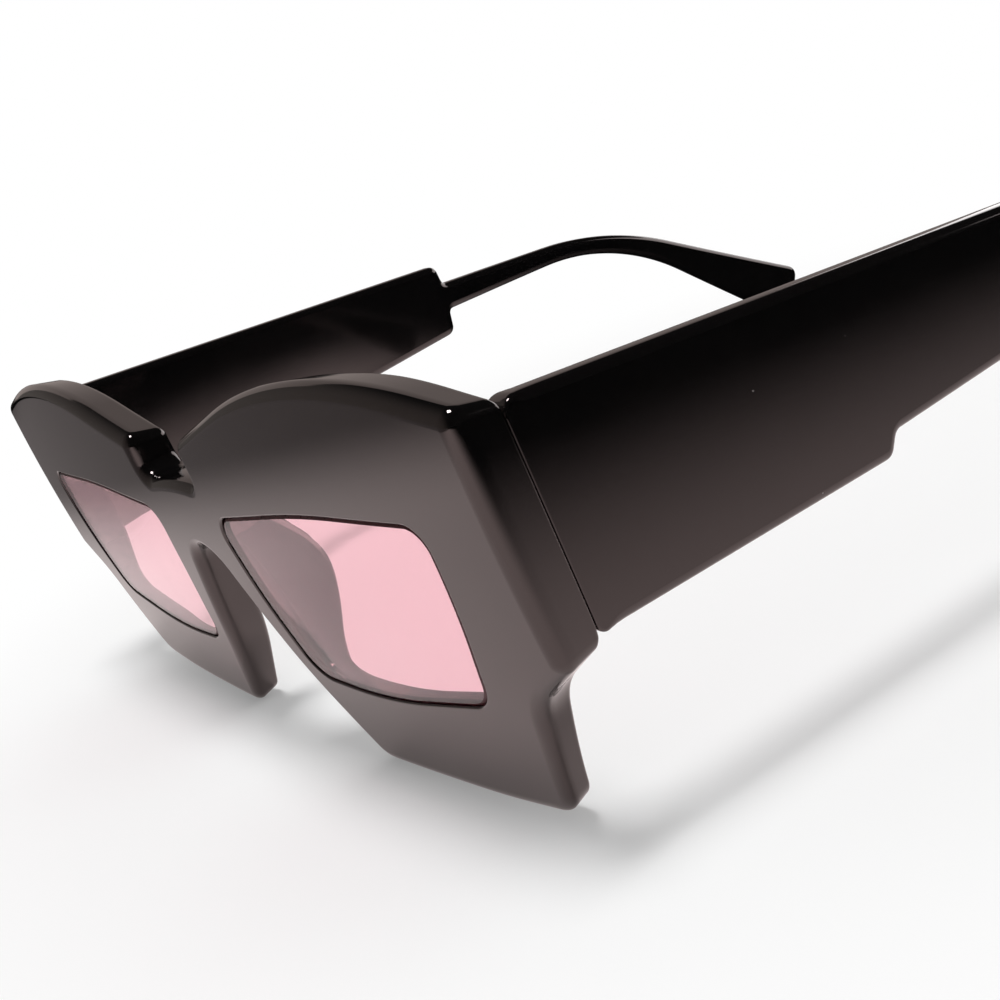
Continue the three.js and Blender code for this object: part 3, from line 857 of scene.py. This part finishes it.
def lens_edge_shade_material():
    """The ground edge of a lens: dark burgundy from the tint it gathers, and painted shade of the gap to the
    rim.
    """
    material = bpy.data.materials.new("ground_lens_edge_shade")
    nodes = Nodes(material)
    place = nodes.add("ShaderNodeTexCoord").outputs["Object"]
    shader = nodes.add("ShaderNodeBsdfPrincipled")
    grind = nodes.noise(place, *LENS_GRIND)
    # Dark burgundy: the edge's own deep tint, and painted shade of the gap round the lens.
    nodes.link(nodes.blend(grind, LENS_EDGE_SHADE_DARK, LENS_EDGE_SHADE_LIGHT), shader.inputs["Base Color"])
    nodes.link(nodes.spread(grind, NOISE_SPAN, LENS_EDGE_ROUGHNESS), shader.inputs["Roughness"])
    nodes.show(shader.outputs["BSDF"])
    return material


def nickel_material():
    """Satin nickel with fine brushing along the hinge."""
    material = bpy.data.materials.new("satin_nickel")
    nodes = Nodes(material)
    place = nodes.add("ShaderNodeTexCoord").outputs["Object"]
    stretch = nodes.add("ShaderNodeMapping")
    stretch.inputs["Scale"].default_value = NICKEL_BRUSHING
    nodes.link(place, stretch.inputs["Vector"])
    grain = nodes.noise(stretch.outputs["Vector"], *NICKEL_GRAIN)
    shader = nodes.add("ShaderNodeBsdfPrincipled")
    shader.inputs["Metallic"].default_value = 1.0
    nodes.link(nodes.blend(grain, NICKEL_DARK, NICKEL_LIGHT), shader.inputs["Base Color"])
    nodes.link(nodes.spread(grain, NOISE_SPAN, NICKEL_ROUGHNESS), shader.inputs["Roughness"])
    brush = nodes.add("ShaderNodeBump", Strength=NICKEL_BUMP_STRENGTH, Distance=NICKEL_BUMP_HEIGHT)
    nodes.link(grain, brush.inputs["Height"])
    nodes.link(brush.outputs["Normal"], shader.inputs["Normal"])
    nodes.show(shader.outputs["BSDF"])
    return material


# Pieces, each on its body and in place of its CAD node


def dress(piece, body, node, slot, *materials):
    """Gives a piece its materials, the body it moves with and the node it stands for; slot is not used."""
    for material in materials:
        piece.data.materials.append(material)
    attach(piece, body)
    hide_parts(node)


plastic, nickel = plastic_material(), nickel_material()
pink, edge = lens_material(), lens_edge_shade_material()
dress(make_front(), "front", "front_frame", "black_plastic", plastic)
for side, word in SIDE_NAME.items():
    temple = f"temple_{word}"
    dress(make_lens(side), "front", f"lens_{word}", "lens", pink, edge)
    dress(make_temple(side), temple, temple, "black_plastic", plastic)
    dress(make_front_leaf(side), "front", f"hinge_front_leaf_{word}", "hinge", nickel)
    dress(make_temple_leaf(side), temple, f"hinge_temple_leaf_{word}", "hinge", nickel)
    dress(make_screw(side), "front", f"hinge_screw_{word}", "hinge", nickel)


# Stage


def stage_disc(name, radius, height, material):
    """A flat disc below the object."""
    work = bmesh.new()
    place = Matrix.Translation((0.0, 0.0, height))
    bmesh.ops.create_circle(work, cap_ends=True, segments=DISC_STEPS, radius=radius, matrix=place)
    disc = finished(work, name)
    disc.data.materials.append(material)
    return disc


def background_rays(nodes):
    """1 for rays that show the background: from the camera, off gloss and through glass."""
    path = nodes.add("ShaderNodeLightPath")
    shown = nodes.math("MAXIMUM", path.outputs["Is Camera Ray"], path.outputs["Is Glossy Ray"])
    return nodes.math("MAXIMUM", shown, path.outputs["Is Transmission Ray"])


def floor_material():
    """Matt white floor, which turns into the white background with distance."""
    material = bpy.data.materials.new("white_floor")
    nodes = Nodes(material)
    paint = nodes.add("ShaderNodeBsdfDiffuse")
    place = nodes.add("ShaderNodeTexCoord").outputs["Object"]
    grain = nodes.noise(place, *FLOOR_GRAIN)
    nodes.link(nodes.blend(grain, FLOOR_WHITE, FLOOR_WHITE_DEEP), paint.inputs["Color"])
    glow = nodes.add("ShaderNodeEmission", Strength=1.0)
    far = nodes.add("ShaderNodeVectorMath", operation="LENGTH")
    nodes.link(place, far.inputs[0])
    away = nodes.spread(far.outputs["Value"], FLOOR_FADE, FLOOR_WHITENING, "SMOOTHSTEP")
    whiteness = nodes.math("MULTIPLY", away, background_rays(nodes))
    nodes.show(nodes.mix(whiteness, paint.outputs["BSDF"], glow.outputs["Emission"]))
    return material


def shade_sheet_material():
    """A black sheet round the object, seen only in reflections: painted shade, open to the floor in front of
    it.
    """
    material = bpy.data.materials.new("painted_shade_sheet")
    nodes = Nodes(material)
    place = nodes.add("ShaderNodeTexCoord").outputs["Object"]
    openings = []
    for across, span, openness in (SHADE_SHEET_LEFT, SHADE_SHEET_RIGHT, SHADE_SHEET_BACK):
        reach = nodes.add("ShaderNodeVectorMath", operation="DOT_PRODUCT")
        nodes.link(place, reach.inputs[0])
        reach.inputs[1].default_value = across
        openings.append(nodes.spread(reach.outputs["Value"], span, openness, "SMOOTHSTEP"))
    # Where open, the floor shows through with a tint: painted pink light in the reflections.
    clear = nodes.add("ShaderNodeBsdfTransparent", Color=(*PAINTED_PINK_LIGHT, 1.0))
    # Black where it is closed: painted shade in the reflections.
    shade_sheet = nodes.add("ShaderNodeBsdfDiffuse", Color=(*SHADE_SHEET_BLACK, 1.0))
    left, right, back = openings
    opened = nodes.math("MULTIPLY", nodes.math("MULTIPLY", left, right), back)
    nodes.show(nodes.mix(opened, shade_sheet.outputs["BSDF"], clear.outputs["BSDF"]))
    return material


def reflection_dome_material():
    """A glowing dome seen only in reflections: painted dark surroundings, painted lighter at the front left.
    """
    material = bpy.data.materials.new("painted_reflection_dome")
    nodes = Nodes(material)
    glow = nodes.add("ShaderNodeEmission", Strength=1.0)
    place = nodes.add("ShaderNodeTexCoord").outputs["Object"]
    aim = nodes.add("ShaderNodeVectorMath", operation="NORMALIZE")
    nodes.link(place, aim.inputs[0])
    turn = nodes.add("ShaderNodeVectorMath", operation="DOT_PRODUCT")
    nodes.link(aim.outputs["Vector"], turn.inputs[0])
    turn.inputs[1].default_value = REFLECTION_DOME_BRIGHT_SIDE
    side = nodes.spread(turn.outputs["Value"], REFLECTION_DOME_SPAN, (0.0, 1.0), "SMOOTHSTEP")
    nodes.link(nodes.blend(side, REFLECTION_DOME_DARK, REFLECTION_DOME_LIGHT), glow.inputs["Color"])
    nodes.show(glow.outputs["Emission"])
    return material


def only_in_reflections(thing):
    """Hides a piece of the stage from everything but glossy rays."""
    thing.visible_camera = False
    thing.visible_diffuse = False
    thing.visible_transmission = False
    thing.visible_volume_scatter = False
    thing.visible_shadow = False


def make_reflection_dome():
    """A glowing dome round the object and its lamps, for painted reflections."""
    work = bmesh.new()
    round_steps, rise_steps = REFLECTION_DOME_STEPS
    bmesh.ops.create_uvsphere(work, u_segments=round_steps, v_segments=rise_steps, radius=REFLECTION_DOME_RADIUS)
    below = [vert for vert in work.verts if vert.co.z < REFLECTION_DOME_FOOT]
    bmesh.ops.delete(work, geom=below, context="VERTS")
    dome = finished(work, "reflection_dome")
    dome.data.materials.append(reflection_dome_material())
    return dome


def add_softbox(name, place, size, radiance, colour):
    """A rectangular lamp that faces the object; its power follows from the brightness of its panel."""
    lamp = bpy.data.lights.new(name, "AREA")
    lamp.shape = "RECTANGLE"
    lamp.size, lamp.size_y = size
    lamp.energy = radiance * math.pi * size[0] * size[1]
    lamp.color = colour
    box = bpy.data.objects.new(name, lamp)
    box.location = place
    box.rotation_euler = (Vector(LAMP_TARGET) - Vector(place)).to_track_quat("-Z", "Y").to_euler()
    box.visible_camera = False
    box.visible_transmission = False
    bpy.context.scene.collection.objects.link(box)


def make_world():
    """Even white surroundings: strength 1 where they show, less where they light the object."""
    world = bpy.data.worlds.new("white_surroundings")
    bpy.context.scene.world = world
    nodes = Nodes(world)
    shown = nodes.add("ShaderNodeBackground", Color=(*WHITE, 1.0), Strength=1.0)
    light = nodes.add("ShaderNodeBackground", Color=(*WHITE, 1.0), Strength=WORLD_LIGHT)
    both = nodes.mix(background_rays(nodes), light.outputs["Background"], shown.outputs["Background"])
    nodes.show(both, "ShaderNodeOutputWorld")


def make_camera():
    """A camera in the place from which the upper view is seen."""
    eye = bpy.data.cameras.new("eye")
    eye.sensor_width = CAMERA_SENSOR_MM
    eye.lens = CAMERA_FOCAL_PIXELS / IMAGE_WIDTH * CAMERA_SENSOR_MM
    eye.clip_start = CAMERA_CLIP_START
    camera = bpy.data.objects.new("eye", eye)
    back = -Vector(CAMERA_FORWARD)
    right = Vector(CAMERA_UP).cross(back).normalized()
    turn = Matrix((right, back.cross(right), back)).transposed()
    camera.matrix_world = Matrix.Translation(CAMERA_PLACE) @ turn.to_4x4()
    bpy.context.scene.collection.objects.link(camera)
    bpy.context.scene.camera = camera


stage_disc("floor", FLOOR_RADIUS, FLOOR_Z, floor_material())
# The sheet: painted shade, seen only in reflections.
only_in_reflections(stage_disc("shade_sheet", REFLECTION_DOME_RADIUS, SHADE_SHEET_Z, shade_sheet_material()))
# The dome: painted reflections of the surroundings.
only_in_reflections(make_reflection_dome())
make_world()
for softbox in SOFTBOXES:
    add_softbox(*softbox)
make_camera()
bpy.context.scene.view_settings.view_transform = "Standard"
